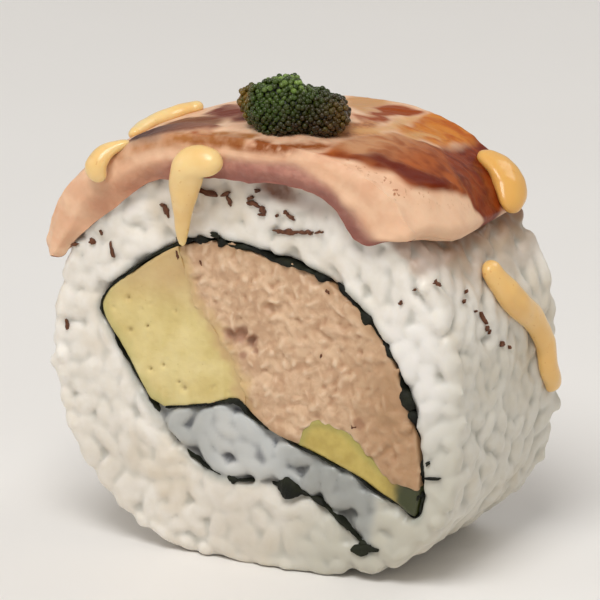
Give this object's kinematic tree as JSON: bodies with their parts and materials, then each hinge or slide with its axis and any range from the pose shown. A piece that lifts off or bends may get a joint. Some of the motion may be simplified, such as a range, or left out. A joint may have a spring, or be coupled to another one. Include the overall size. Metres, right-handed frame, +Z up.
{
  "type": "uramaki sushi slice",
  "caption": "Slice of an inside-out sushi roll: rice coat, nori spiral, omelette, tuna salad and avocado, topped with seared fish, roe and sauce.",
  "frame": {"origin": "middle of the flat underside on which the slice stands", "axes": "+Z up; the roll's axis runs along Y, and the cut face with the front drizzle looks along -Y; +X to the right of that face"},
  "size_m": [0.0542, 0.0311, 0.0565],
  "materials": {
    "rice": "moist, slightly sticky cooked rice grains",
    "nori": "damp black-green seaweed sheet",
    "omelette": "soft, finely pitted rolled omelette",
    "tuna_salad": "moist fibrous paste",
    "avocado": "smooth buttery flesh",
    "fish": "seared, wet, with a brown glaze",
    "roe": "glossy tiny eggs",
    "sauce": "glossy thick mayonnaise sauce"
  },
  "bodies": {
    "root": {"rice": "rice", "nori": "nori", "omelette": "omelette", "tuna_salad": "tuna_salad", "avocado": "avocado", "fish_slice": "fish", "roe": "roe", "sauce_crown": "sauce", "sauce_left": "sauce", "sauce_front": "sauce", "sauce_right": "sauce", "sauce_flank": "sauce"}
  },
  "joints": []
}
